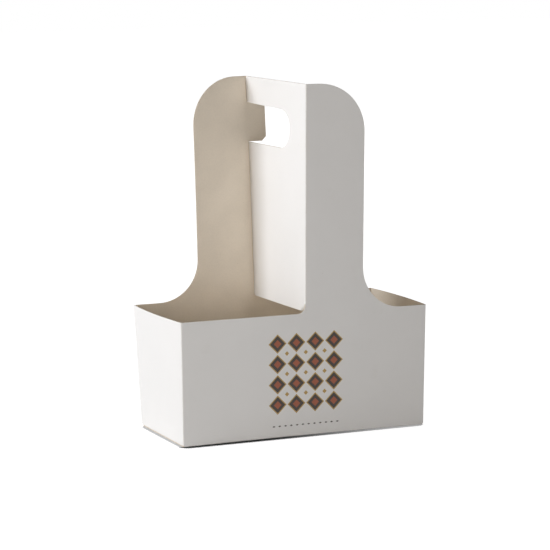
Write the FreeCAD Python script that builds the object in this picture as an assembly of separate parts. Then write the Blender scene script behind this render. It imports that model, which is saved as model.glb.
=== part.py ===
import FreeCAD, Part
import math
import os

# A two-cup carrier, folded and glued from one sheet of white board.
# Millimetres. The origin is in the middle of the base, +Z is up, +X runs along
# the tray to the right and the front wall faces -Y.
# Walls, handle wings and cross panels are flat panels of one sheet, joined by creases.

# Outside sizes of the folded carrier
tray_length = 175.0
tray_depth = 76.0
tray_height = 81.0
handle_height = 230.0

# The board, and the radius on the hollow side of each fold
board = 0.6
crease_inside = 0.3

# Handle wings, one rising from each long wall beside its middle
wing_width = 41.0
wing_top_radius = 32.0
wing_foot_radius = 28.0
fold_relief_radius = 5.0

# Cross panels, two plies glued back to back between the wings
cross_cut_gap = 1.0
cross_end_gap = 0.4
cross_corner_radius = 2.0

# Hand hole through both plies, open to the rear fold; its upper edge falls towards the front
grip_top_land = 17.4
grip_top_fall = 1.6
grip_height = 26.6
grip_front_land = 20.3
grip_upper_radius = 11.0
grip_lower_radius = 13.0

# Tab left standing in the rear wing's plane where the hand hole was cut
tab_length = 12.5
tab_corner = 3.0
knife_gap = 0.2

# Glue lap inside the left wall at the rear corner
lap_width = 15.0
lap_foot = 6.0
lap_head = 1.0
lap_taper = 4.0
wall_end_gap = 0.2

# Base panel, hinged on the front wall, with a glued flap up the inside of the rear wall
base_end_gap = 0.5
rear_flap_height = 18.0
rear_flap_inset = 3.0
rear_flap_taper = 4.0

# End flaps, folded in from the short walls and glued on the base panel
end_flap_length = 42.0
end_flap_side_gap = 0.6
end_flap_taper = 5.0
end_flap_radius = 4.0

crease_outside = crease_inside + board
half_length = tray_length / 2
half_depth = tray_depth / 2
cross_bottom = tray_height + cross_cut_gap
fold_foot = cross_bottom + fold_relief_radius
grip_top = handle_height - grip_top_land
grip_bottom = grip_top - grip_height
side_wall_foot = board + crease_outside

X = FreeCAD.Vector(1, 0, 0)
Y = FreeCAD.Vector(0, 1, 0)
Z = FreeCAD.Vector(0, 0, 1)


def facing_y(y):
    """Places outline points (x, z) in a plane across Y."""
    return lambda u, v: FreeCAD.Vector(u, y, v)


def facing_x(x):
    """Places outline points (y, z) in a plane across X."""
    return lambda u, v: FreeCAD.Vector(x, u, v)


def facing_z(z):
    """Places outline points (x, y) in a level plane."""
    return lambda u, v: FreeCAD.Vector(u, v, z)


def corner_arc(before, here, after, radius):
    """Start, middle and end of the arc that rounds the corner at here."""
    inward = (before - here).normalize()
    outward = (after - here).normalize()
    half_angle = inward.getAngle(outward) / 2
    middle_way = (inward + outward).normalize()
    run = radius / math.tan(half_angle)
    to_centre = radius / math.sin(half_angle)
    return here + inward * run, here + middle_way * (to_centre - radius), here + outward * run


def outline(corners, place):
    """Closed wire through corners (u, v) or (u, v, radius), rounded where a radius is given."""
    points = [place(corner[0], corner[1]) for corner in corners]
    radii = [corner[2] if len(corner) > 2 else 0 for corner in corners]
    count = len(points)
    stretches = []
    for i in range(count):
        if radii[i]:
            after = points[(i + 1) % count]
            stretches.append(corner_arc(points[i - 1], points[i], after, radii[i]))
        else:
            stretches.append((points[i],))
    edges = []
    for i in range(count):
        stretch = stretches[i]
        if len(stretch) > 1:
            edges.append(Part.Arc(*stretch).toShape())
        edges.append(Part.makeLine(stretch[-1], stretches[(i + 1) % count][0]))
    return Part.Wire(edges)


def panel(corners, place, through):
    """Flat panel of board, as thick as the board in the direction through."""
    return Part.Face(outline(corners, place)).extrude(through * board)


def crease(centre, axis, first, length):
    """Folded board: its section swept a quarter turn about axis, starting on the side first."""
    near = centre + first * crease_inside
    far = centre + first * crease_outside
    along = axis * length
    section = Part.Face(Part.makePolygon([near, far, far + along, near + along, near]))
    return section.revolve(centre, axis, 90)


def upright_crease(x, y, first, foot, head):
    """Vertical fold about (x, y) between the heights foot and head."""
    return crease(FreeCAD.Vector(x, y, foot), Z, first, head - foot)


def half_turn(shape):
    """The shape turned half way round the upright axis, for what is on the rear side."""
    turned = shape.copy()
    turned.rotate(FreeCAD.Vector(), Z, 180)
    return turned


def wall_with_wing(left_end, right_end, foot):
    """Front wall and the handle wing above it, cut as one panel."""
    fold_side = -board
    flat_side = fold_side + crease_outside
    corners = [
        (left_end, foot),
        (right_end, foot),
        (right_end, tray_height),
        (wing_width, tray_height, wing_foot_radius),
        (wing_width, handle_height, wing_top_radius),
        (flat_side, handle_height),
        (flat_side, fold_foot),
        (fold_side, fold_foot),
        (fold_side, tray_height, fold_relief_radius),
        (left_end, tray_height),
    ]
    return panel(corners, facing_y(-half_depth), Y)


def cross_ply():
    """Cross panel of the front wing: it runs back to the rear wing, left of the middle plane."""
    fold_end = crease_outside - half_depth
    free_end = half_depth - board - cross_end_gap
    corners = [
        (fold_end, cross_bottom, fold_relief_radius),
        (free_end, cross_bottom, cross_corner_radius),
        (free_end, handle_height, cross_corner_radius),
        (fold_end, handle_height),
    ]
    return panel(corners, facing_x(-board), X)


def hand_hole():
    """Cutter for the hand hole in both plies: rounded at the front, open at the rear wing."""
    front = grip_front_land - half_depth
    rear = half_depth - board
    corners = [
        (front, grip_bottom, grip_lower_radius),
        (rear, grip_bottom),
        (rear, grip_top),
        (front, grip_top - grip_top_fall, grip_upper_radius),
    ]
    start = outline(corners, facing_x(-2 * board))
    return Part.Face(start).extrude(X * 4 * board)


def cross_fold(foot, head):
    """Fold between the front wing and its ply, between two heights."""
    middle = crease_outside - board
    return upright_crease(middle, crease_outside - half_depth, -X, foot, head)


def handle():
    """Both plies with their folds and the hand hole, and the tab beside the hole."""
    plies = cross_ply().fuse(half_turn(cross_ply())).cut(hand_hole())
    front_fold = cross_fold(fold_foot, handle_height)
    rear_fold_low = half_turn(cross_fold(fold_foot, grip_bottom))
    rear_fold_high = half_turn(cross_fold(grip_top, handle_height))
    return [plies, front_fold, rear_fold_low, rear_fold_high, tab()]


def tab():
    """Tab in the rear wing's plane, reaching into the hand hole from the fold line."""
    root = board - crease_outside
    low = grip_bottom + knife_gap
    high = grip_top - knife_gap
    corners = [
        (root, low),
        (tab_length - tab_corner, low),
        (tab_length, low + tab_corner),
        (tab_length, high),
        (root, high),
    ]
    return panel(corners, facing_y(half_depth - board), Y)


def long_walls():
    """Front and rear walls with their wings; the rear one is the front one turned half round."""
    corner = half_length - crease_outside
    front = wall_with_wing(-corner, corner, crease_outside)
    rear = half_turn(wall_with_wing(-corner, corner - board, 0))
    return [front, rear]


def short_walls():
    """Right wall between two folds, and left wall, whose rear edge is free over the glue lap."""
    front = crease_outside - half_depth
    right_rear = half_depth - crease_outside
    left_rear = half_depth - wall_end_gap
    walls = []
    for x, rear in ((half_length - board, right_rear), (-half_length, left_rear)):
        corners = [
            (front, side_wall_foot),
            (rear, side_wall_foot),
            (rear, tray_height),
            (front, tray_height),
        ]
        walls.append(panel(corners, facing_x(x), X))
    return walls


def tray_corners():
    """The three upright folds between the tray's walls."""
    x = half_length - crease_outside
    y = half_depth - crease_outside
    return [
        upright_crease(-x, -y, -X, crease_outside, tray_height),
        upright_crease(x, -y, -Y, crease_outside, tray_height),
        upright_crease(x, y, X, crease_outside, tray_height),
    ]


def glue_lap():
    """Lap folded from the rear wall's left end and glued inside the left wall."""
    inner_face = board - half_length
    root = half_depth - crease_outside
    tip = half_depth - lap_width
    head = tray_height - lap_head
    corners = [
        (root, lap_foot),
        (root, head),
        (tip, head - lap_taper),
        (tip, lap_foot + lap_taper),
    ]
    lap = panel(corners, facing_x(inner_face), X)
    fold = upright_crease(inner_face + crease_outside, root, Y, lap_foot, head)
    return [lap, fold]


def base():
    """Base panel, its fold at the front wall and its glued flap behind the rear wall."""
    front = crease_outside - half_depth
    rear_face = half_depth - board
    rear = rear_face - crease_outside
    end = half_length - base_end_gap
    fold_end = half_length - crease_outside
    flap_root = half_length - board - rear_flap_inset
    flap_tip = flap_root - rear_flap_taper
    floor = panel([(-end, front), (end, front), (end, rear), (-end, rear)], facing_z(0), Z)
    front_fold = crease(FreeCAD.Vector(-fold_end, front, crease_outside), X, -Y, 2 * fold_end)
    rear_fold = crease(FreeCAD.Vector(-flap_root, rear, crease_outside), X, -Z, 2 * flap_root)
    flap_corners = [
        (-flap_root, crease_outside),
        (flap_root, crease_outside),
        (flap_tip, rear_flap_height),
        (-flap_tip, rear_flap_height),
    ]
    flap = panel(flap_corners, facing_y(rear_face), -Y)
    return [floor, front_fold, rear_fold, flap]


def end_flap(side):
    """End flap on the base panel: side is 1 for the right wall and -1 for the left wall."""
    front = board + end_flap_side_gap - half_depth
    rear = half_depth - 2 * board - end_flap_side_gap
    root = side * (half_length - crease_outside)
    tip = side * (half_length - end_flap_length)
    corners = [
        (root, front),
        (tip, front + end_flap_taper, end_flap_radius),
        (tip, rear - end_flap_taper, end_flap_radius),
        (root, rear),
    ]
    flap = panel(corners, facing_z(board), Z)
    start = front if side > 0 else rear
    fold = crease(FreeCAD.Vector(root, start, side_wall_foot), Y * side, X * side, rear - front)
    return [flap, fold]


def carrier():
    """All panels and folds of the sheet as one solid."""
    pieces = long_walls() + short_walls() + tray_corners() + glue_lap()
    pieces += base() + end_flap(1) + end_flap(-1) + handle()
    return pieces[0].multiFuse(pieces[1:]).removeSplitter()


os.makedirs("parts", exist_ok=True)
folded_carrier = carrier()
print("solids", len(folded_carrier.Solids), "valid", folded_carrier.isValid(),
      "volume", round(folded_carrier.Volume, 1))
folded_carrier.exportStep("parts/folded_carrier.step")
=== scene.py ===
import math

import bmesh
import bpy
from bpy.props import FloatProperty, FloatVectorProperty, IntProperty, PointerProperty
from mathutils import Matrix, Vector
from mathutils.bvhtree import BVHTree


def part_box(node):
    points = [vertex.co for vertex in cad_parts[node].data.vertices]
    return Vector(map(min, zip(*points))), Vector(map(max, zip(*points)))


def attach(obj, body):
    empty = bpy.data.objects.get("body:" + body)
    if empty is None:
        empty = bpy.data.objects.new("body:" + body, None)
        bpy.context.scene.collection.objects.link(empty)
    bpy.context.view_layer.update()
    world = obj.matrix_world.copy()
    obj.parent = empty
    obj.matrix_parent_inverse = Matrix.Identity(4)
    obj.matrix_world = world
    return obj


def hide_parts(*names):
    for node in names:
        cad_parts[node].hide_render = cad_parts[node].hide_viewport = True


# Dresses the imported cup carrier: the folded card sheet, the print on its front wall, and the stage.
# Everything is in metres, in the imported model's own frame: the front wall faces -Y and +Z is up.

bl_info = {
    "name": "Folded Cup Carrier",
    "version": (1, 0, 0),
    "blender": (4, 5, 0),
    "location": "View3D > Sidebar > Carrier",
    "description": "Builds a folded card carrier for two cups, with its print and a pale studio stage",
    "category": "Object",
}

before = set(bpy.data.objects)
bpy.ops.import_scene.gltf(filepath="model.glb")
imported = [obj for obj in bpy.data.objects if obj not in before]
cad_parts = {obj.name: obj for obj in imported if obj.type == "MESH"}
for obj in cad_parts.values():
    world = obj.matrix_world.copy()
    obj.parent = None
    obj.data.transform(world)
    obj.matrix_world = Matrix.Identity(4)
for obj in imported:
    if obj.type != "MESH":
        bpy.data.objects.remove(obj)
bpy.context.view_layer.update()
SHEET_NODE = "folded_carrier"
BODY = "root"
LOW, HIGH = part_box(SHEET_NODE)

# Names shared by the sheet's mesh, its trees and its materials
PLACE = "card_place"
SIDE = "card_side"
FACE_SIDE, REVERSE_SIDE, CUT_EDGE = 0, 1, 2
SETTLE = "Card settle"
SETTLE_INPUTS = (
    "Length", "Depth", "Height", "Tray Height", "Wing", "Rear Lean", "Rear Spread", "Top Lean",
    "Rear Curl", "Front Curl", "Foot Tuck", "Foot Taper", "Side Bow", "Foot Lift", "Waviness", "Wave Size")

# Mesh limits: distance at which points are welded, and angles of flat sides and of crisp folds
WELD = 1e-6
FLAT_ANGLE = math.radians(0.5)
CRISP_ANGLE = math.radians(35)

# Values between which the slow clouds of noise in the paper mostly lie
CLOUD_LOW, CLOUD_HIGH = 0.3, 0.7

# Layers of ink, counted out from the wall, at which each colour of the print lies
RIM_LAYER, FIELD_LAYER, CENTRE_LAYER = 2, 4, 6

# Floor: how far it reaches, how far it lies under the card, and how near the card the painted contact shadow
# darkens it
FLOOR_REACH = 4.0
FLOOR_DROP = 0.0005
CONTACT_SHADOW_REACH = 0.007

# Lamps: name, setting that holds the power, place, size and tint
LAMPS = (
    ("key_lamp", "key_power", (-1.5, 0.35, 0.85), 0.8, (0.945, 0.965, 1.0)),
    ("fill_lamp", "fill_power", (-1.3, -1.3, 0.35), 1.0, (1.0, 0.88, 0.76)),
    ("card_lamp", "card_power", (-0.1, -0.5, 0.06), 0.25, (0.92, 0.96, 1.0)),
    ("back_lamp", "back_power", (1.3, 1.6, 0.9), 1.2, (1.0, 0.975, 0.95)),
)
AMBIENT_TINT = (1.0, 0.975, 0.945, 1.0)
SENSOR_WIDTH = 36.0

WHITE = (1.0, 1.0, 1.0, 1.0)
BLACK = (0.0, 0.0, 0.0, 1.0)


# Small helpers for node trees

def feed(tree, socket, value):
    """Links a socket to an input, or writes a plain value on it."""
    if isinstance(value, bpy.types.NodeSocket):
        tree.links.new(value, socket)
    else:
        socket.default_value = value


def add_node(tree, kind, inputs=None, **settings):
    """Adds a node with its settings, and feeds its inputs by name or number."""
    node = tree.nodes.new(kind)
    for name, value in settings.items():
        setattr(node, name, value)
    for key, value in (inputs or {}).items():
        feed(tree, node.inputs[key], value)
    return node


def maths(tree, operation, *values):
    """Output of a Math node on sockets or plain numbers."""
    node = add_node(tree, "ShaderNodeMath", operation=operation)
    for socket, value in zip(node.inputs, values):
        feed(tree, socket, value)
    return node.outputs[0]


def product(tree, first, *others):
    """Product of sockets and plain numbers."""
    result = first
    for value in others:
        result = maths(tree, "MULTIPLY", result, value)
    return result


def ramp(tree, value, from_low, from_high, to_low=0.0, to_high=1.0):
    """Smooth step of a value from one range to another."""
    inputs = {
        "Value": value,
        "From Min": from_low,
        "From Max": from_high,
        "To Min": to_low,
        "To Max": to_high,
    }
    node = add_node(tree, "ShaderNodeMapRange", inputs, interpolation_type="SMOOTHSTEP")
    return node.outputs["Result"]


def mix_colour(tree, factor, first, second):
    """Output of a Mix node on two colours."""
    node = add_node(tree, "ShaderNodeMix", data_type="RGBA")
    feed(tree, node.inputs["Factor"], factor)
    feed(tree, node.inputs["A"], first)
    feed(tree, node.inputs["B"], second)
    colours = [socket for socket in node.outputs if socket.type == "RGBA"]
    return colours[0]


def new_group(name, kind, inputs, outputs):
    """Empty node group with named sockets, and its input and output nodes."""
    tree = bpy.data.node_groups.new(name, kind)
    for direction, sockets in (("INPUT", inputs), ("OUTPUT", outputs)):
        for label, socket_type, default in sockets:
            socket = tree.interface.new_socket(label, in_out=direction, socket_type=socket_type)
            if default is not None:
                socket.default_value = default
    entry = tree.nodes.new("NodeGroupInput")
    result = tree.nodes.new("NodeGroupOutput")
    return tree, entry.outputs, result.inputs


def set_tree_inputs(modifier, values):
    """Sets a Geometry Nodes modifier's inputs, found by name and written by identifier."""
    for item in modifier.node_group.interface.items_tree:
        if item.item_type == "SOCKET" and item.in_out == "INPUT" and item.name in values:
            modifier[item.identifier] = values[item.name]


def grow(piece, tree, values):
    """Runs a Geometry Nodes tree on a piece and keeps the result as its plain mesh."""
    modifier = piece.modifiers.new(tree.name, "NODES")
    modifier.node_group = tree
    set_tree_inputs(modifier, values)
    depsgraph = bpy.context.evaluated_depsgraph_get()
    evaluated = piece.evaluated_get(depsgraph)
    mesh = bpy.data.meshes.new_from_object(evaluated, preserve_all_data_layers=True, depsgraph=depsgraph)
    piece.modifiers.clear()
    piece.data = mesh
    mesh.name = piece.name
    return piece


def new_piece(name, mesh):
    """Object for a mesh, at the origin and in the scene."""
    piece = bpy.data.objects.new(name, mesh)
    bpy.context.scene.collection.objects.link(piece)
    return piece


# Settings

class CardSettings(bpy.types.PropertyGroup):
    """Shape and colours of the folded sheet."""

    board: FloatProperty(
        name="Board", description="Thickness of the board", default=0.0006, unit="LENGTH", precision=4)
    tray_height: FloatProperty(
        name="Tray height", description="Height of the tray's walls", default=0.081, unit="LENGTH")
    wing: FloatProperty(
        name="Wing", description="Width of a handle wing", default=0.041, unit="LENGTH")
    cell: FloatProperty(
        name="Cell", description="Size of the mesh cells that let the board bend", default=0.004,
        unit="LENGTH")
    rear_lean: FloatProperty(
        name="Rear lean", description="Sideways lean of the rear wall and wing for each unit of height",
        default=0.0335)
    rear_spread: FloatProperty(
        name="Rear spread", description="How far the rear wall's top stands back", default=0.001,
        unit="LENGTH")
    top_lean: FloatProperty(
        name="Top lean", description="How much further the rear wing leans at its top", default=0.0015,
        unit="LENGTH")
    rear_curl: FloatProperty(
        name="Rear curl", description="How far the rear wing's free edge curls forward at its top",
        default=0.005, unit="LENGTH")
    front_curl: FloatProperty(
        name="Front curl", description="How far the front wing's free edge curls forward at its top",
        default=0.0022, unit="LENGTH")
    foot_tuck: FloatProperty(
        name="Foot tuck", description="How far the rear wall's foot stands forward", default=0.003,
        unit="LENGTH")
    foot_taper: FloatProperty(
        name="Foot taper", description="Share by which the tray is shorter at its foot than at its top",
        default=0.013, subtype="FACTOR")
    side_bow: FloatProperty(
        name="Side bow", description="How far the short walls bow outwards at their top",
        default=0.002, unit="LENGTH")
    foot_lift: FloatProperty(
        name="Foot lift", description="How far the middle of the base is off the table",
        default=0.0004, unit="LENGTH", precision=4)
    waviness: FloatProperty(
        name="Waviness", description="Height of the slow waves in the board, from trough to crest",
        default=0.0003, unit="LENGTH", precision=5)
    wave_size: FloatProperty(
        name="Wave size", description="Size of the slow waves in the board", default=0.045, unit="LENGTH")
    face_colour: FloatVectorProperty(
        name="Face", description="Coated outer side of the board", size=4, subtype="COLOR",
        default=(0.86, 0.85, 0.835, 1.0), min=0.0, max=1.0)
    reverse_colour: FloatVectorProperty(
        name="Reverse", description="Uncoated inner side of the board", size=4, subtype="COLOR",
        default=(0.86, 0.77, 0.645, 1.0), min=0.0, max=1.0)
    core_colour: FloatVectorProperty(
        name="Core", description="Pulp that shows at the cut edges", size=4, subtype="COLOR",
        default=(0.74, 0.67, 0.57, 1.0), min=0.0, max=1.0)


class PrintSettings(bpy.types.PropertyGroup):
    """Lattice of lozenges printed on the front wall, and the dashed rule under it."""

    columns: IntProperty(
        name="Columns", description="Lozenges across the lattice", default=4, min=1)
    rows: IntProperty(
        name="Rows", description="Lozenges up the lattice", default=4, min=1)
    pitch: FloatProperty(
        name="Pitch", description="Distance between lozenges", default=0.0135, unit="LENGTH")
    lozenge: FloatProperty(
        name="Lozenge", description="Size of a lozenge across its corners", default=0.0128, unit="LENGTH")
    rim: FloatProperty(
        name="Rim", description="Width of a lozenge's rim line", default=0.0007, unit="LENGTH", precision=4)
    centre_share: FloatProperty(
        name="Centre share", description="Size of a lozenge's centre, as a share of the lozenge",
        default=0.42, subtype="FACTOR")
    spot_share: FloatProperty(
        name="Spot share", description="Size of the spots between lozenges, as a share of a lozenge",
        default=0.24, subtype="FACTOR")
    centre_height: FloatProperty(
        name="Centre height", description="Height of the lattice's middle", default=0.042, unit="LENGTH")
    rule_height: FloatProperty(
        name="Rule height", description="Height of the dashed rule", default=0.0075, unit="LENGTH")
    rule_length: FloatProperty(
        name="Rule length", description="Length of the dashed rule", default=0.046, unit="LENGTH")
    dashes: IntProperty(
        name="Dashes", description="Number of dashes in the rule", default=12, min=2)
    dash_length: FloatProperty(
        name="Dash length", description="Length of a dash", default=0.0022, unit="LENGTH", precision=4)
    dash_height: FloatProperty(
        name="Dash height", description="Height of a dash", default=0.0011, unit="LENGTH", precision=4)
    ink: FloatProperty(
        name="Ink", description="Thickness of one layer of ink", default=0.00003, unit="LENGTH", precision=5)
    rim_colour: FloatVectorProperty(
        name="Rim colour", description="Ink of the rim lines", size=4, subtype="COLOR",
        default=(0.52, 0.34, 0.10, 1.0), min=0.0, max=1.0)
    field_colour: FloatVectorProperty(
        name="Field colour", description="Ink of the lozenges' fields", size=4, subtype="COLOR",
        default=(0.045, 0.033, 0.026, 1.0), min=0.0, max=1.0)
    centre_colour: FloatVectorProperty(
        name="Centre colour", description="Ink of the lozenges' centres", size=4, subtype="COLOR",
        default=(0.36, 0.10, 0.045, 1.0), min=0.0, max=1.0)


class StageSettings(bpy.types.PropertyGroup):
    """Camera, lamps, floor and backdrop."""

    camera_place: FloatVectorProperty(
        name="Camera place", description="Where the camera stands", size=3, subtype="TRANSLATION",
        default=(-0.70002, -1.55903, 0.36873))
    camera_turn: FloatProperty(
        name="Camera turn", description="Turn of the view from +Y towards +X",
        default=math.radians(24.025), subtype="ANGLE")
    camera_dip: FloatProperty(
        name="Camera dip", description="How far the view looks down",
        default=math.radians(8.908), subtype="ANGLE")
    lens: FloatProperty(
        name="Lens", description="Focal length in millimetres on a 36 mm sensor", default=171.36,
        unit="CAMERA")
    key_power: FloatProperty(
        name="Key power", description="Large lamp at the left", default=21.2, unit="POWER")
    fill_power: FloatProperty(
        name="Fill power", description="Low lamp at the front left", default=7.6, unit="POWER")
    card_power: FloatProperty(
        name="Card power", description="Small lamp low in front, like a white card that throws light back",
        default=0.45, unit="POWER")
    back_power: FloatProperty(
        name="Back power", description="Weak lamp behind, for views from the rear", default=9.0,
        unit="POWER")
    ambient: FloatProperty(
        name="Ambient", description="Strength of the even light from all round", default=0.12)


# The sheet

def merged_sheet(node):
    """Copy of a node's mesh with its loose triangles joined and its flat sides made whole."""
    mesh = bmesh.new()
    mesh.from_mesh(node.data)
    bmesh.ops.remove_doubles(mesh, verts=mesh.verts, dist=WELD)
    bmesh.ops.dissolve_limit(
        mesh, angle_limit=FLAT_ANGLE, verts=mesh.verts, edges=mesh.edges, use_dissolve_boundaries=False)
    return mesh


def cut_into_cells(mesh, cell):
    """Cuts the mesh by planes across X, Y and Z, so that its flat sides can bend."""
    on_plane = WELD / 10
    for axis in range(3):
        across = Vector((0, 0, 0))
        across[axis] = 1
        first = math.floor(LOW[axis] / cell)
        last = math.ceil(HIGH[axis] / cell)
        for step in range(first, last):
            geometry = list(mesh.verts) + list(mesh.edges) + list(mesh.faces)
            bmesh.ops.bisect_plane(
                mesh, geom=geometry, dist=on_plane, plane_co=across * cell * (step + 0.5), plane_no=across)


def mark_sides(mesh, board, tray_height):
    """Marks each face as the board's coated face, its reverse side or a cut edge."""
    tree = BVHTree.FromBMesh(mesh)
    side = mesh.faces.layers.int.new(SIDE)
    ray_start = board * 0.02
    thickest_stack = board * 3.2
    outer_skin = board * 0.5
    ply_skin = board * 0.4
    ply_reach = board * 1.1
    for face in mesh.faces:
        centre = face.calc_center_median()
        normal = face.normal
        hit = tree.ray_cast(centre - normal * ray_start, -normal)
        thickness = hit[3] if hit[3] is not None else 0.0
        outer_gap = min(HIGH.x - abs(centre.x), HIGH.y - abs(centre.y), centre.z)
        on_cross_panel = centre.z > tray_height and ply_skin < abs(centre.x) < ply_reach
        outwards = normal.x * centre.x > 0
        if thickness > thickest_stack:
            face[side] = CUT_EDGE
        elif outer_gap < outer_skin or (on_cross_panel and outwards):
            face[side] = FACE_SIDE
        else:
            face[side] = REVERSE_SIDE


def settle_group():
    """Tree that lets flat board settle: lean, curl, tapered foot, bowed short walls and slow waves."""
    if SETTLE in bpy.data.node_groups:
        return bpy.data.node_groups[SETTLE]
    inputs = [("Geometry", "NodeSocketGeometry", None)]
    inputs += [(name, "NodeSocketFloat", 0.0) for name in SETTLE_INPUTS]
    outputs = [("Geometry", "NodeSocketGeometry", None)]
    tree, entry, result = new_group(SETTLE, "GeometryNodeTree", inputs, outputs)
    place = tree.nodes.new("GeometryNodeInputPosition").outputs[0]
    x, y, z = add_node(tree, "ShaderNodeSeparateXYZ", {0: place}).outputs

    # Shares of the way along the tray, from front to rear, and up the tray
    half_length = maths(tree, "DIVIDE", entry["Length"], 2)
    along = maths(tree, "DIVIDE", x, half_length)
    rear = maths(tree, "MINIMUM", maths(tree, "ADD", maths(tree, "DIVIDE", y, entry["Depth"]), 0.5), 1)
    rear = maths(tree, "MAXIMUM", rear, 0)
    front = maths(tree, "SUBTRACT", 1, rear)
    up = maths(tree, "MINIMUM", maths(tree, "DIVIDE", z, entry["Tray Height"]), 1)
    down = maths(tree, "SUBTRACT", 1, up)

    # The tray: tapered and tucked foot, bowed short walls, and a base that is off the table in its middle
    end_power, rim_power = 4, 2
    taper = product(tree, entry["Foot Taper"], down, x)
    near_end = product(tree, maths(tree, "POWER", maths(tree, "ABSOLUTE", along), end_power), along)
    near_rim = maths(tree, "POWER", up, rim_power)
    arch = maths(tree, "SINE", product(tree, rear, math.pi))
    bow = product(tree, near_end, arch, near_rim, entry["Side Bow"])
    tuck = product(tree, entry["Foot Tuck"], down)
    spread = product(tree, entry["Rear Spread"], up)
    backward = product(tree, maths(tree, "SUBTRACT", spread, tuck), rear)
    middle = maths(tree, "SUBTRACT", 1, maths(tree, "POWER", along, 2))
    lift = product(tree, entry["Foot Lift"], down, middle)

    # The handle: sideways lean of the rear side, and free edges that curl forward
    over_tray = maths(tree, "SUBTRACT", z, entry["Tray Height"])
    wing_height = maths(tree, "SUBTRACT", entry["Height"], entry["Tray Height"])
    wing_up = maths(tree, "MAXIMUM", maths(tree, "DIVIDE", over_tray, wing_height), 0)
    top = product(tree, wing_up, wing_up)
    out_left = maths(tree, "DIVIDE", maths(tree, "MAXIMUM", product(tree, x, -1), 0), entry["Wing"])
    out_right = maths(tree, "DIVIDE", maths(tree, "MAXIMUM", x, 0), entry["Wing"])
    lean = maths(
        tree, "ADD", product(tree, entry["Rear Lean"], z, rear), product(tree, entry["Top Lean"], top, rear))
    rear_curl = product(tree, wing_up, out_left, rear, entry["Rear Curl"])
    front_curl = product(tree, top, out_right, front, entry["Front Curl"])
    curl = maths(tree, "ADD", rear_curl, front_curl)

    # Slow waves all over
    noise_middle = 0.5
    wave_scale = maths(tree, "DIVIDE", 1, entry["Wave Size"])
    noise = add_node(tree, "ShaderNodeTexNoise", {"Vector": place, "Scale": wave_scale, "Detail": 1.0})
    wave = add_node(tree, "ShaderNodeSeparateXYZ", {0: noise.outputs["Color"]}).outputs
    wave_x = product(tree, maths(tree, "SUBTRACT", wave[0], noise_middle), entry["Waviness"])
    wave_y = product(tree, maths(tree, "SUBTRACT", wave[1], noise_middle), entry["Waviness"])

    shift_x = maths(tree, "ADD", maths(tree, "SUBTRACT", bow, maths(tree, "ADD", lean, taper)), wave_x)
    shift_y = maths(tree, "SUBTRACT", maths(tree, "ADD", wave_y, backward), curl)
    shift = add_node(tree, "ShaderNodeCombineXYZ", {"X": shift_x, "Y": shift_y, "Z": lift})
    moved = add_node(
        tree, "GeometryNodeSetPosition", {"Geometry": entry["Geometry"], "Offset": shift.outputs[0]})
    tree.links.new(moved.outputs[0], result["Geometry"])
    return tree


def settle_values(card):
    """Values of the settling tree's inputs, by name."""
    return {
        "Length": HIGH.x - LOW.x,
        "Depth": HIGH.y - LOW.y,
        "Height": HIGH.z,
        "Tray Height": card.tray_height,
        "Wing": card.wing,
        "Rear Lean": card.rear_lean,
        "Rear Spread": card.rear_spread,
        "Top Lean": card.top_lean,
        "Rear Curl": card.rear_curl,
        "Front Curl": card.front_curl,
        "Foot Tuck": card.foot_tuck,
        "Foot Taper": card.foot_taper,
        "Side Bow": card.side_bow,
        "Foot Lift": card.foot_lift,
        "Waviness": card.waviness,
        "Wave Size": card.wave_size,
    }


def settle_node(tree, entry, geometry):
    """Places the settling tree in another tree that has the same inputs; gives its geometry."""
    node = add_node(tree, "GeometryNodeGroup", node_tree=settle_group())
    feed(tree, node.inputs["Geometry"], geometry)
    for name in SETTLE_INPUTS:
        feed(tree, node.inputs[name], entry[name])
    return node.outputs["Geometry"]


def sheet_tree():
    """Tree of the sheet: keeps each point's place on the flat board, settles it and adds the finishes."""
    finishes = (("Face Finish", FACE_SIDE), ("Reverse Finish", REVERSE_SIDE), ("Edge Finish", CUT_EDGE))
    inputs = [("Geometry", "NodeSocketGeometry", None)]
    inputs += [(name, "NodeSocketFloat", 0.0) for name in SETTLE_INPUTS]
    inputs += [(name, "NodeSocketMaterial", None) for name, side in finishes]
    outputs = [("Geometry", "NodeSocketGeometry", None)]
    tree, entry, result = new_group("Card sheet", "GeometryNodeTree", inputs, outputs)
    place = tree.nodes.new("GeometryNodeInputPosition").outputs[0]
    keep = add_node(
        tree, "GeometryNodeStoreNamedAttribute", {"Geometry": entry["Geometry"], "Name": PLACE},
        data_type="FLOAT_VECTOR", domain="POINT")
    feed(tree, keep.inputs["Value"], place)
    geometry = settle_node(tree, entry, keep.outputs[0])
    geometry = add_node(tree, "GeometryNodeRealizeInstances", {"Geometry": geometry}).outputs[0]
    marked = add_node(tree, "GeometryNodeInputNamedAttribute", {"Name": SIDE}, data_type="INT").outputs[0]
    for name, side in finishes:
        same = add_node(tree, "FunctionNodeCompare", data_type="INT", operation="EQUAL")
        whole_numbers = [socket for socket in same.inputs if socket.type == "INT"]
        feed(tree, whole_numbers[0], marked)
        feed(tree, whole_numbers[1], side)
        finish = add_node(tree, "GeometryNodeSetMaterial", {
            "Geometry": geometry,
            "Selection": same.outputs[0],
            "Material": entry[name],
        })
        geometry = finish.outputs[0]
    tree.links.new(geometry, result["Geometry"])
    return tree


# Materials

def card_place(tree):
    """Place of a point on the board before it settled, which the patterns follow."""
    node = add_node(tree, "ShaderNodeAttribute", attribute_type="GEOMETRY", attribute_name=PLACE)
    return node.outputs["Vector"]


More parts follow.
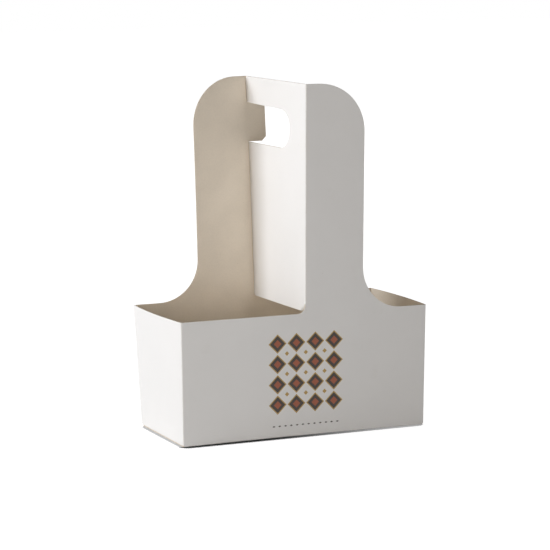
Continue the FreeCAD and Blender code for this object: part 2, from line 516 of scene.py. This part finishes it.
def fibre_group():
    """Paper fibres: fine short flecks and slow clouds, each from 0 to 1."""
    inputs = [
        ("Place", "NodeSocketVector", None),
        ("Fleck Size", "NodeSocketFloat", None),
        ("Cloud Size", "NodeSocketFloat", None),
    ]
    outputs = [("Flecks", "NodeSocketFloat", None), ("Clouds", "NodeSocketFloat", None)]
    tree, entry, result = new_group("Paper fibres", "ShaderNodeTree", inputs, outputs)
    for name, size, detail, roughness in (
            ("Flecks", "Fleck Size", 4.0, 0.62), ("Clouds", "Cloud Size", 3.0, 0.5)):
        scale = maths(tree, "DIVIDE", 1, entry[size])
        noise = add_node(tree, "ShaderNodeTexNoise", {
            "Vector": entry["Place"], "Scale": scale, "Detail": detail, "Roughness": roughness})
        tree.links.new(noise.outputs[0], result[name])
    return tree


def mark_group():
    """Faint marks of handling: soft smudges in a few places, and small specks."""
    inputs = [
        ("Place", "NodeSocketVector", None),
        ("Smudge Size", "NodeSocketFloat", None),
        ("Speck Size", "NodeSocketFloat", None),
    ]
    outputs = [("Smudges", "NodeSocketFloat", None), ("Specks", "NodeSocketFloat", None)]
    tree, entry, result = new_group("Handling marks", "ShaderNodeTree", inputs, outputs)
    smudge_start, smudge_full = 0.62, 0.78
    smudge_scale = maths(tree, "DIVIDE", 1, entry["Smudge Size"])
    noise = add_node(tree, "ShaderNodeTexNoise", {
        "Vector": entry["Place"], "Scale": smudge_scale, "Detail": 5.0, "Roughness": 0.6})
    smudges = ramp(tree, noise.outputs[0], smudge_start, smudge_full)
    bare_share = 0.91
    speck_rim, speck_core = 0.10, 0.03
    speck_scale = maths(tree, "DIVIDE", 1, entry["Speck Size"])
    cells = add_node(tree, "ShaderNodeTexVoronoi", {"Vector": entry["Place"], "Scale": speck_scale})
    chosen = add_node(tree, "ShaderNodeSeparateXYZ", {0: cells.outputs["Color"]}).outputs[0]
    rare = maths(tree, "GREATER_THAN", chosen, bare_share)
    specks = product(tree, rare, ramp(tree, cells.outputs["Distance"], speck_rim, speck_core))
    tree.links.new(smudges, result["Smudges"])
    tree.links.new(specks, result["Specks"])
    return tree


def fold_group():
    """How near a point is to one of the folds, from 1 on the fold to 0 at the given reach."""
    inputs = [("Place", "NodeSocketVector", None)]
    inputs += [(name, "NodeSocketFloat", None) for name in ("Length", "Depth", "Tray Height", "Reach")]
    outputs = [("Fold", "NodeSocketFloat", None)]
    tree, entry, result = new_group("Fold wear", "ShaderNodeTree", inputs, outputs)
    x, y, z = add_node(tree, "ShaderNodeSeparateXYZ", {0: entry["Place"]}).outputs
    from_middle = maths(tree, "ABSOLUTE", x)
    from_end = maths(tree, "SUBTRACT", maths(tree, "DIVIDE", entry["Length"], 2), from_middle)
    from_side = maths(tree, "SUBTRACT", maths(tree, "DIVIDE", entry["Depth"], 2), maths(tree, "ABSOLUTE", y))
    corner = maths(tree, "MAXIMUM", from_end, from_side)
    foot = maths(tree, "MAXIMUM", maths(tree, "MINIMUM", from_end, from_side), z)
    below_rim = maths(tree, "LESS_THAN", z, entry["Tray Height"])
    wing = maths(tree, "ADD", maths(tree, "MAXIMUM", from_middle, from_side), below_rim)
    nearest = maths(tree, "MINIMUM", maths(tree, "MINIMUM", corner, foot), wing)
    fold = ramp(tree, nearest, entry["Reach"], 0.0)
    tree.links.new(fold, result["Fold"])
    return tree


def group_node(tree, group, values):
    """Places a shader group with the values of its inputs; gives its outputs."""
    return add_node(tree, "ShaderNodeGroup", values, node_tree=group).outputs


def new_material(name, specular=0.5):
    """Material with one Principled shader, which is given back with its tree."""
    material = bpy.data.materials.new(name)
    material.use_nodes = True
    tree = material.node_tree
    shader = tree.nodes["Principled BSDF"]
    shader.inputs["Specular IOR Level"].default_value = specular
    return material, tree, shader


def scaled(colour, factor):
    """The colour, lighter or darker by a factor."""
    return (colour[0] * factor, colour[1] * factor, colour[2] * factor, 1.0)


def clouded(tree, clouds, colour, darkest):
    """The colour with slow clouds, darkened by up to the factor darkest."""
    return mix_colour(tree, ramp(tree, clouds, CLOUD_LOW, CLOUD_HIGH), scaled(colour, darkest), colour)


def stained(tree, colour, mask, stain, strength):
    """The colour with a stain laid over it where the mask is 1."""
    return mix_colour(tree, product(tree, mask, strength), colour, stain)


def add_grain(tree, shader, height, strength, depth):
    """Gives the shader a fine bump, whose depth is in metres."""
    bump = add_node(tree, "ShaderNodeBump", {"Strength": strength, "Distance": depth, "Height": height})
    feed(tree, shader.inputs["Normal"], bump.outputs[0])


def face_material(card, groups):
    """Coated white side: even and slightly satin, with faint clouds, smudges and worn folds."""
    smudge_colour = (0.55, 0.50, 0.42, 1)
    speck_colour = (0.42, 0.36, 0.30, 1)
    satin, matt = 0.46, 0.56
    wear_start, wear_full = 0.45, 0.65
    least_wear, most_wear = 0.05, 0.35
    material, tree, shader = new_material("Coated face")
    place = card_place(tree)
    fibres = group_node(tree, groups["fibres"], {"Place": place, "Fleck Size": 0.0006, "Cloud Size": 0.03})
    marks = group_node(tree, groups["marks"], {"Place": place, "Smudge Size": 0.014, "Speck Size": 0.006})
    folds = group_node(tree, groups["folds"], {
        "Place": place,
        "Length": HIGH.x - LOW.x,
        "Depth": HIGH.y - LOW.y,
        "Tray Height": card.tray_height,
        "Reach": 0.0012,
    })
    colour = clouded(tree, fibres["Clouds"], card.face_colour, darkest=0.985)
    colour = stained(tree, colour, marks["Smudges"], smudge_colour, strength=0.05)
    colour = stained(tree, colour, marks["Specks"], speck_colour, strength=0.14)
    wear = ramp(tree, fibres["Flecks"], wear_start, wear_full, least_wear, most_wear)
    colour = stained(tree, colour, folds["Fold"], card.core_colour, strength=wear)
    feed(tree, shader.inputs["Base Color"], colour)
    feed(tree, shader.inputs["Roughness"], ramp(tree, fibres["Clouds"], CLOUD_LOW, CLOUD_HIGH, satin, matt))
    add_grain(tree, shader, fibres["Flecks"], strength=0.12, depth=0.00004)
    return material


def reverse_material(card, groups):
    """Uncoated reverse side: matt, warmer, with visible fibres and flecks."""
    speck_colour = (0.40, 0.31, 0.22, 1)
    fleck_colour = scaled(card.reverse_colour, 0.6)
    fleck_start, fleck_full = 0.35, 0.75
    material, tree, shader = new_material("Uncoated reverse", specular=0.3)
    place = card_place(tree)
    fibres = group_node(tree, groups["fibres"], {"Place": place, "Fleck Size": 0.0012, "Cloud Size": 0.018})
    marks = group_node(tree, groups["marks"], {"Place": place, "Smudge Size": 0.02, "Speck Size": 0.003})
    colour = clouded(tree, fibres["Clouds"], card.reverse_colour, darkest=0.95)
    flecks = ramp(tree, fibres["Flecks"], fleck_start, fleck_full)
    colour = stained(tree, colour, flecks, fleck_colour, strength=0.10)
    colour = stained(tree, colour, marks["Specks"], speck_colour, strength=0.35)
    feed(tree, shader.inputs["Base Color"], colour)
    feed(tree, shader.inputs["Roughness"], 0.85)
    add_grain(tree, shader, fibres["Flecks"], strength=0.3, depth=0.00008)
    return material


def edge_material(card, groups):
    """Cut edge: bare pulp with a rough, fibrous grain."""
    dark_pulp = scaled(card.core_colour, 0.82)
    fleck_start, fleck_full = 0.35, 0.65
    material, tree, shader = new_material("Cut edge", specular=0.2)
    place = card_place(tree)
    fibres = group_node(tree, groups["fibres"], {"Place": place, "Fleck Size": 0.0004, "Cloud Size": 0.01})
    flecks = ramp(tree, fibres["Flecks"], fleck_start, fleck_full)
    colour = mix_colour(tree, flecks, dark_pulp, card.core_colour)
    feed(tree, shader.inputs["Base Color"], colour)
    feed(tree, shader.inputs["Roughness"], 0.95)
    add_grain(tree, shader, fibres["Flecks"], strength=0.5, depth=0.0001)
    return material


def make_sheet(card):
    """The whole folded sheet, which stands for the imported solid."""
    cut = merged_sheet(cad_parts[SHEET_NODE])
    cut_into_cells(cut, card.cell)
    mark_sides(cut, card.board, card.tray_height)
    mesh = bpy.data.meshes.new("folded_card")
    cut.to_mesh(mesh)
    cut.free()
    piece = new_piece("folded_card", mesh)
    groups = {"fibres": fibre_group(), "marks": mark_group(), "folds": fold_group()}
    values = settle_values(card)
    values["Face Finish"] = face_material(card, groups)
    values["Reverse Finish"] = reverse_material(card, groups)
    values["Edge Finish"] = edge_material(card, groups)
    grow(piece, sheet_tree(), values)
    piece.data.shade_smooth()
    piece.data.set_sharp_from_angle(angle=CRISP_ANGLE)
    return piece


# The print

def ink_material(name, colour):
    """Ink on coated board: slightly uneven, with a soft shine."""
    mottle_low, mottle_high = 0.35, 0.65
    shiny, dull = 0.38, 0.48
    dark_ink = scaled(colour, 0.88)
    material, tree, shader = new_material(name)
    place = add_node(tree, "ShaderNodeTexCoord").outputs["Object"]
    noise = add_node(tree, "ShaderNodeTexNoise", {"Vector": place, "Scale": 1600.0, "Detail": 3.0})
    mottle = ramp(tree, noise.outputs[0], mottle_low, mottle_high)
    feed(tree, shader.inputs["Base Color"], mix_colour(tree, mottle, dark_ink, tuple(colour)))
    finish = ramp(tree, noise.outputs[0], mottle_low, mottle_high, shiny, dull)
    feed(tree, shader.inputs["Roughness"], finish)
    return material


def print_tree():
    """Tree of the print: three layers of lozenges on a grid, and a row of dashes under them."""
    inputs = [("Geometry", "NodeSocketGeometry", None)]
    inputs += [(name, "NodeSocketFloat", 0.0) for name in SETTLE_INPUTS]
    inputs += [("Columns", "NodeSocketInt", 1), ("Rows", "NodeSocketInt", 1), ("Dashes", "NodeSocketInt", 2)]
    inputs += [(name, "NodeSocketFloat", 0.0) for name in (
        "Pitch", "Lozenge", "Rim", "Centre Share", "Spot Share", "Centre Height",
        "Rule Height", "Rule Length", "Dash Length", "Dash Height", "Ink")]
    inputs += [(name, "NodeSocketMaterial", None) for name in ("Rim Ink", "Field Ink", "Centre Ink")]
    outputs = [("Geometry", "NodeSocketGeometry", None)]
    tree, entry, result = new_group("Lozenge print", "GeometryNodeTree", inputs, outputs)
    wall = maths(tree, "DIVIDE", entry["Depth"], -2)
    standing = (math.pi / 2, 0, 0)
    join = add_node(tree, "GeometryNodeJoinGeometry")

    def lay(points, across, high, layer, material):
        """Instances a thin lozenge on points of the wall, so many layers of ink out from it."""
        shape = add_node(tree, "GeometryNodeMeshCylinder", {
            "Vertices": 4, "Side Segments": 1, "Fill Segments": 3, "Radius": 0.5, "Depth": 1.0})
        size = add_node(tree, "ShaderNodeCombineXYZ", {
            "X": across, "Y": high, "Z": product(tree, entry["Ink"], layer)}).outputs[0]
        placed = add_node(tree, "GeometryNodeInstanceOnPoints", {
            "Points": points, "Instance": shape.outputs["Mesh"], "Rotation": standing, "Scale": size})
        solid = add_node(tree, "GeometryNodeRealizeInstances", {"Geometry": placed.outputs[0]})
        inked = add_node(tree, "GeometryNodeSetMaterial", {
            "Geometry": solid.outputs[0], "Material": material})
        tree.links.new(inked.outputs[0], join.inputs[0])

    def grid(columns, rows, height):
        """Points of a grid that stands on the front wall, centred at a height."""
        def span(count):
            """Distance from the first to the last of so many points."""
            return product(tree, maths(tree, "SUBTRACT", count, 1), entry["Pitch"])
        flat = add_node(tree, "GeometryNodeMeshGrid", {
            "Size X": span(columns), "Size Y": span(rows), "Vertices X": columns, "Vertices Y": rows})
        move = add_node(tree, "ShaderNodeCombineXYZ", {"Y": wall, "Z": height}).outputs[0]
        upright = add_node(tree, "GeometryNodeTransform", {
            "Geometry": flat.outputs["Mesh"], "Translation": move, "Rotation": standing})
        return upright.outputs[0]

    # Both rim lines together, measured across a lozenge's corners, in widths of a line
    rims_across = 2.8
    whole = entry["Lozenge"]
    field = maths(tree, "SUBTRACT", whole, product(tree, entry["Rim"], rims_across))
    inner = product(tree, whole, entry["Centre Share"])
    spot = product(tree, whole, entry["Spot Share"])
    main = grid(entry["Columns"], entry["Rows"], entry["Centre Height"])
    lay(main, whole, whole, RIM_LAYER, entry["Rim Ink"])
    lay(main, field, field, FIELD_LAYER, entry["Field Ink"])
    lay(main, inner, inner, CENTRE_LAYER, entry["Centre Ink"])
    fewer_columns = maths(tree, "SUBTRACT", entry["Columns"], 1)
    fewer_rows = maths(tree, "SUBTRACT", entry["Rows"], 1)
    between = grid(fewer_columns, fewer_rows, entry["Centre Height"])
    lay(between, spot, spot, RIM_LAYER, entry["Rim Ink"])

    half_rule = maths(tree, "DIVIDE", entry["Rule Length"], 2)
    start = add_node(tree, "ShaderNodeCombineXYZ", {
        "X": product(tree, half_rule, -1), "Y": wall, "Z": entry["Rule Height"]}).outputs[0]
    end = add_node(tree, "ShaderNodeCombineXYZ", {
        "X": half_rule, "Y": wall, "Z": entry["Rule Height"]}).outputs[0]
    row = add_node(tree, "GeometryNodeMeshLine", {
        "Count": entry["Dashes"], "Start Location": start, "Offset": end}, mode="END_POINTS")
    lay(row.outputs[0], entry["Dash Length"], entry["Dash Height"], RIM_LAYER, entry["Field Ink"])

    settled = settle_node(tree, entry, join.outputs[0])
    tree.links.new(settled, result["Geometry"])
    return tree


def make_print(card, ink):
    """The printed lattice and rule, as thin layers of ink on the settled front wall."""
    piece = new_piece("printed_lattice", bpy.data.meshes.new("printed_lattice"))
    values = settle_values(card)
    values.update({
        "Columns": ink.columns,
        "Rows": ink.rows,
        "Dashes": ink.dashes,
        "Pitch": ink.pitch,
        "Lozenge": ink.lozenge,
        "Rim": ink.rim,
        "Centre Share": ink.centre_share,
        "Spot Share": ink.spot_share,
        "Centre Height": ink.centre_height,
        "Rule Height": ink.rule_height,
        "Rule Length": ink.rule_length,
        "Dash Length": ink.dash_length,
        "Dash Height": ink.dash_height,
        "Ink": ink.ink,
        "Rim Ink": ink_material("Rim ink", ink.rim_colour),
        "Field Ink": ink_material("Field ink", ink.field_colour),
        "Centre Ink": ink_material("Centre ink", ink.centre_colour),
    })
    return grow(piece, print_tree(), values)


# The stage

def unseen_light(tree):
    """1 for rays from the camera, a reflection or through glass, and 0 for rays that carry light."""
    path = add_node(tree, "ShaderNodeLightPath").outputs
    seen = maths(tree, "MAXIMUM", path["Is Camera Ray"], path["Is Glossy Ray"])
    return maths(tree, "MAXIMUM", seen, path["Is Transmission Ray"])


def white_world(ambient):
    """White backdrop to look at, and an even soft light on the object."""
    world = bpy.data.worlds.new("Studio")
    world.use_nodes = True
    bpy.context.scene.world = world
    tree = world.node_tree
    light = tree.nodes["Background"]
    light.inputs["Color"].default_value = AMBIENT_TINT
    light.inputs["Strength"].default_value = ambient
    backdrop = add_node(tree, "ShaderNodeBackground", {"Color": WHITE, "Strength": 1.0})
    mixed = add_node(tree, "ShaderNodeMixShader", {
        0: unseen_light(tree), 1: light.outputs[0], 2: backdrop.outputs[0]})
    tree.links.new(mixed.outputs[0], tree.nodes["World Output"].inputs["Surface"])


def painted_contact_shadow(tree, spot):
    """How open the floor is beside the card, from 0 to 1, and how light the painted contact shadow along the
    card's foot is.

    The painted shadow is wide and dark at the left end of the front wall and thins out to the right.
    Along the left wall, which faces the key lamp, it is thin and pale.
    """
    x, y = add_node(tree, "ShaderNodeSeparateXYZ", {0: spot}).outputs[:2]

    # Where the bands of floor along the two walls end, measured inwards from the tray's sides
    front_full, front_none = 0.004, 0.006
    left_full, left_none = 0.002, 0.004
    corner_none, corner_full = 0.002, 0.005
    front_side = ramp(tree, y, LOW.y + front_none, LOW.y + front_full)
    past_corner = ramp(tree, y, LOW.y + corner_none, LOW.y + corner_full)
    left_side = product(tree, ramp(tree, x, LOW.x + left_none, LOW.x + left_full), past_corner)

    # Shares of open sky between which the floor goes from the painted contact shadow's tone to the floor's
    # own
    closed = 0.55
    open_at_left, open_at_right, less_beside_left = 0.82, 0.66, 0.16
    free = ramp(tree, x, LOW.x, HIGH.x, open_at_left, open_at_right)
    free = maths(tree, "SUBTRACT", free, product(tree, left_side, less_beside_left))
    near = add_node(tree, "ShaderNodeAmbientOcclusion", {"Distance": CONTACT_SHADOW_REACH}, samples=16)
    openness = ramp(tree, near.outputs["AO"], closed, free)

    # Tone of the painted contact shadow: darkest at the front wall's left end, paler to the right and along
    # the left wall
    fade_start = LOW.x / 3
    darkest, right_light, left_light = 0.02, 0.4, 0.5
    along_front = product(tree, ramp(tree, x, fade_start, HIGH.x, darkest, right_light), front_side)
    lightness = maths(tree, "MAXIMUM", along_front, product(tree, left_side, left_light))
    return openness, lightness


def floor_material():
    """White floor that keeps a faint soft shadow, and a painted contact shadow: a dark line along the card's
    foot, from ambient occlusion.
    """
    near_edge, far_edge = 0.2, 0.7
    near_white = (0.94, 0.94, 0.94, 1)
    # Diffuse colour of the floor, darkened to a painted shade where the card is near
    shaded, unshaded = (0.02, 0.02, 0.02, 1), (0.3, 0.3, 0.3, 1)
    bounce_grey = (0.8, 0.8, 0.8, 1)
    material = bpy.data.materials.new("White floor")
    material.use_nodes = True
    tree = material.node_tree
    tree.nodes.clear()
    spot = add_node(tree, "ShaderNodeTexCoord").outputs["Object"]
    away = add_node(tree, "ShaderNodeVectorMath", {0: spot}, operation="LENGTH").outputs["Value"]
    openness, lightness = painted_contact_shadow(tree, spot)
    floor_colour = mix_colour(tree, ramp(tree, away, near_edge, far_edge), near_white, WHITE)
    # Painted contact shadow: the glow goes dark where ambient occlusion finds the card close
    contact_shadow_colour = mix_colour(tree, lightness, BLACK, WHITE)
    glow = add_node(tree, "ShaderNodeEmission", {
        "Color": mix_colour(tree, openness, contact_shadow_colour, floor_colour)})
    shade = add_node(tree, "ShaderNodeBsdfDiffuse", {
        "Color": mix_colour(tree, openness, shaded, unshaded)})
    seen = add_node(tree, "ShaderNodeAddShader", {0: glow.outputs[0], 1: shade.outputs[0]})
    bounce = add_node(tree, "ShaderNodeBsdfDiffuse", {"Color": bounce_grey})
    mixed = add_node(tree, "ShaderNodeMixShader", {
        0: unseen_light(tree), 1: bounce.outputs[0], 2: seen.outputs[0]})
    output = add_node(tree, "ShaderNodeOutputMaterial")
    tree.links.new(mixed.outputs[0], output.inputs["Surface"])
    return material


def make_floor():
    """Wide floor just under the carrier's foot."""
    corners = [
        (-FLOOR_REACH, -FLOOR_REACH, -FLOOR_DROP),
        (FLOOR_REACH, -FLOOR_REACH, -FLOOR_DROP),
        (FLOOR_REACH, FLOOR_REACH, -FLOOR_DROP),
        (-FLOOR_REACH, FLOOR_REACH, -FLOOR_DROP),
    ]
    mesh = bpy.data.meshes.new("studio_floor")
    mesh.from_pydata(corners, [], [(0, 1, 2, 3)])
    mesh.materials.append(floor_material())
    return new_piece("studio_floor", mesh)


def add_lamp(name, power, place, size, tint):
    """Square area lamp that faces the carrier's middle."""
    data = bpy.data.lights.new(name, "AREA")
    data.size = size
    data.energy = power
    data.color = tint
    lamp = bpy.data.objects.new(name, data)
    lamp.location = place
    middle = Vector((0, 0, HIGH.z / 2))
    lamp.rotation_euler = (middle - Vector(place)).to_track_quat("-Z", "Y").to_euler()
    bpy.context.scene.collection.objects.link(lamp)


def add_camera(stage):
    """Camera at the photograph's viewing angle."""
    data = bpy.data.cameras.new("photograph_view")
    data.lens = stage.lens
    data.sensor_width = SENSOR_WIDTH
    camera = bpy.data.objects.new("photograph_view", data)
    camera.location = stage.camera_place
    level = math.cos(stage.camera_dip)
    forward = Vector((
        math.sin(stage.camera_turn) * level,
        math.cos(stage.camera_turn) * level,
        -math.sin(stage.camera_dip),
    ))
    camera.rotation_euler = forward.to_track_quat("-Z", "Y").to_euler()
    bpy.context.scene.collection.objects.link(camera)
    bpy.context.scene.camera = camera


# Operators

class CARRIER_OT_sheet(bpy.types.Operator):
    """Build the folded card sheet"""

    bl_idname = "carrier.sheet"
    bl_label = "Folded sheet"

    def execute(self, context):
        sheet = make_sheet(context.scene.carrier_card)
        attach(sheet, BODY)
        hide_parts(SHEET_NODE)
        return {"FINISHED"}


class CARRIER_OT_print(bpy.types.Operator):
    """Print the lattice and the rule on the front wall"""

    bl_idname = "carrier.print"
    bl_label = "Front wall print"

    def execute(self, context):
        ink = make_print(context.scene.carrier_card, context.scene.carrier_print)
        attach(ink, BODY)
        return {"FINISHED"}


class CARRIER_OT_stage(bpy.types.Operator):
    """Set up the floor, the backdrop, the lamps and the camera"""

    bl_idname = "carrier.stage"
    bl_label = "Studio stage"

    def execute(self, context):
        stage = context.scene.carrier_stage
        white_world(stage.ambient)
        make_floor()
        for name, power, place, size, tint in LAMPS:
            add_lamp(name, getattr(stage, power), place, size, tint)
        add_camera(stage)
        context.scene.view_settings.view_transform = "Standard"
        return {"FINISHED"}


class CARRIER_PT_panel(bpy.types.Panel):
    """Carrier settings and build steps"""

    bl_idname = "CARRIER_PT_panel"
    bl_label = "Cup carrier"
    bl_space_type = "VIEW_3D"
    bl_region_type = "UI"
    bl_category = "Carrier"

    def draw(self, context):
        steps = (
            ("carrier_card", CardSettings, CARRIER_OT_sheet),
            ("carrier_print", PrintSettings, CARRIER_OT_print),
            ("carrier_stage", StageSettings, CARRIER_OT_stage),
        )
        for name, settings, operator in steps:
            box = self.layout.box()
            for field in settings.__annotations__:
                box.prop(getattr(context.scene, name), field)
            box.operator(operator.bl_idname)


CLASSES = (
    CardSettings,
    PrintSettings,
    StageSettings,
    CARRIER_OT_sheet,
    CARRIER_OT_print,
    CARRIER_OT_stage,
    CARRIER_PT_panel,
)


def register():
    """Registers the classes and the scene's settings."""
    for item in CLASSES:
        bpy.utils.register_class(item)
    bpy.types.Scene.carrier_card = PointerProperty(type=CardSettings)
    bpy.types.Scene.carrier_print = PointerProperty(type=PrintSettings)
    bpy.types.Scene.carrier_stage = PointerProperty(type=StageSettings)


def unregister():
    """Takes the settings and the classes out again."""
    del bpy.types.Scene.carrier_stage
    del bpy.types.Scene.carrier_print
    del bpy.types.Scene.carrier_card
    for item in reversed(CLASSES):
        bpy.utils.unregister_class(item)


def write_sizes():
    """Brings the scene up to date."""
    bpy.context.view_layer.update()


def main():
    """Builds everything in order."""
    register()
    bpy.ops.carrier.sheet()
    bpy.ops.carrier.print()
    bpy.ops.carrier.stage()
    write_sizes()


if __name__ == "__main__":
    main()
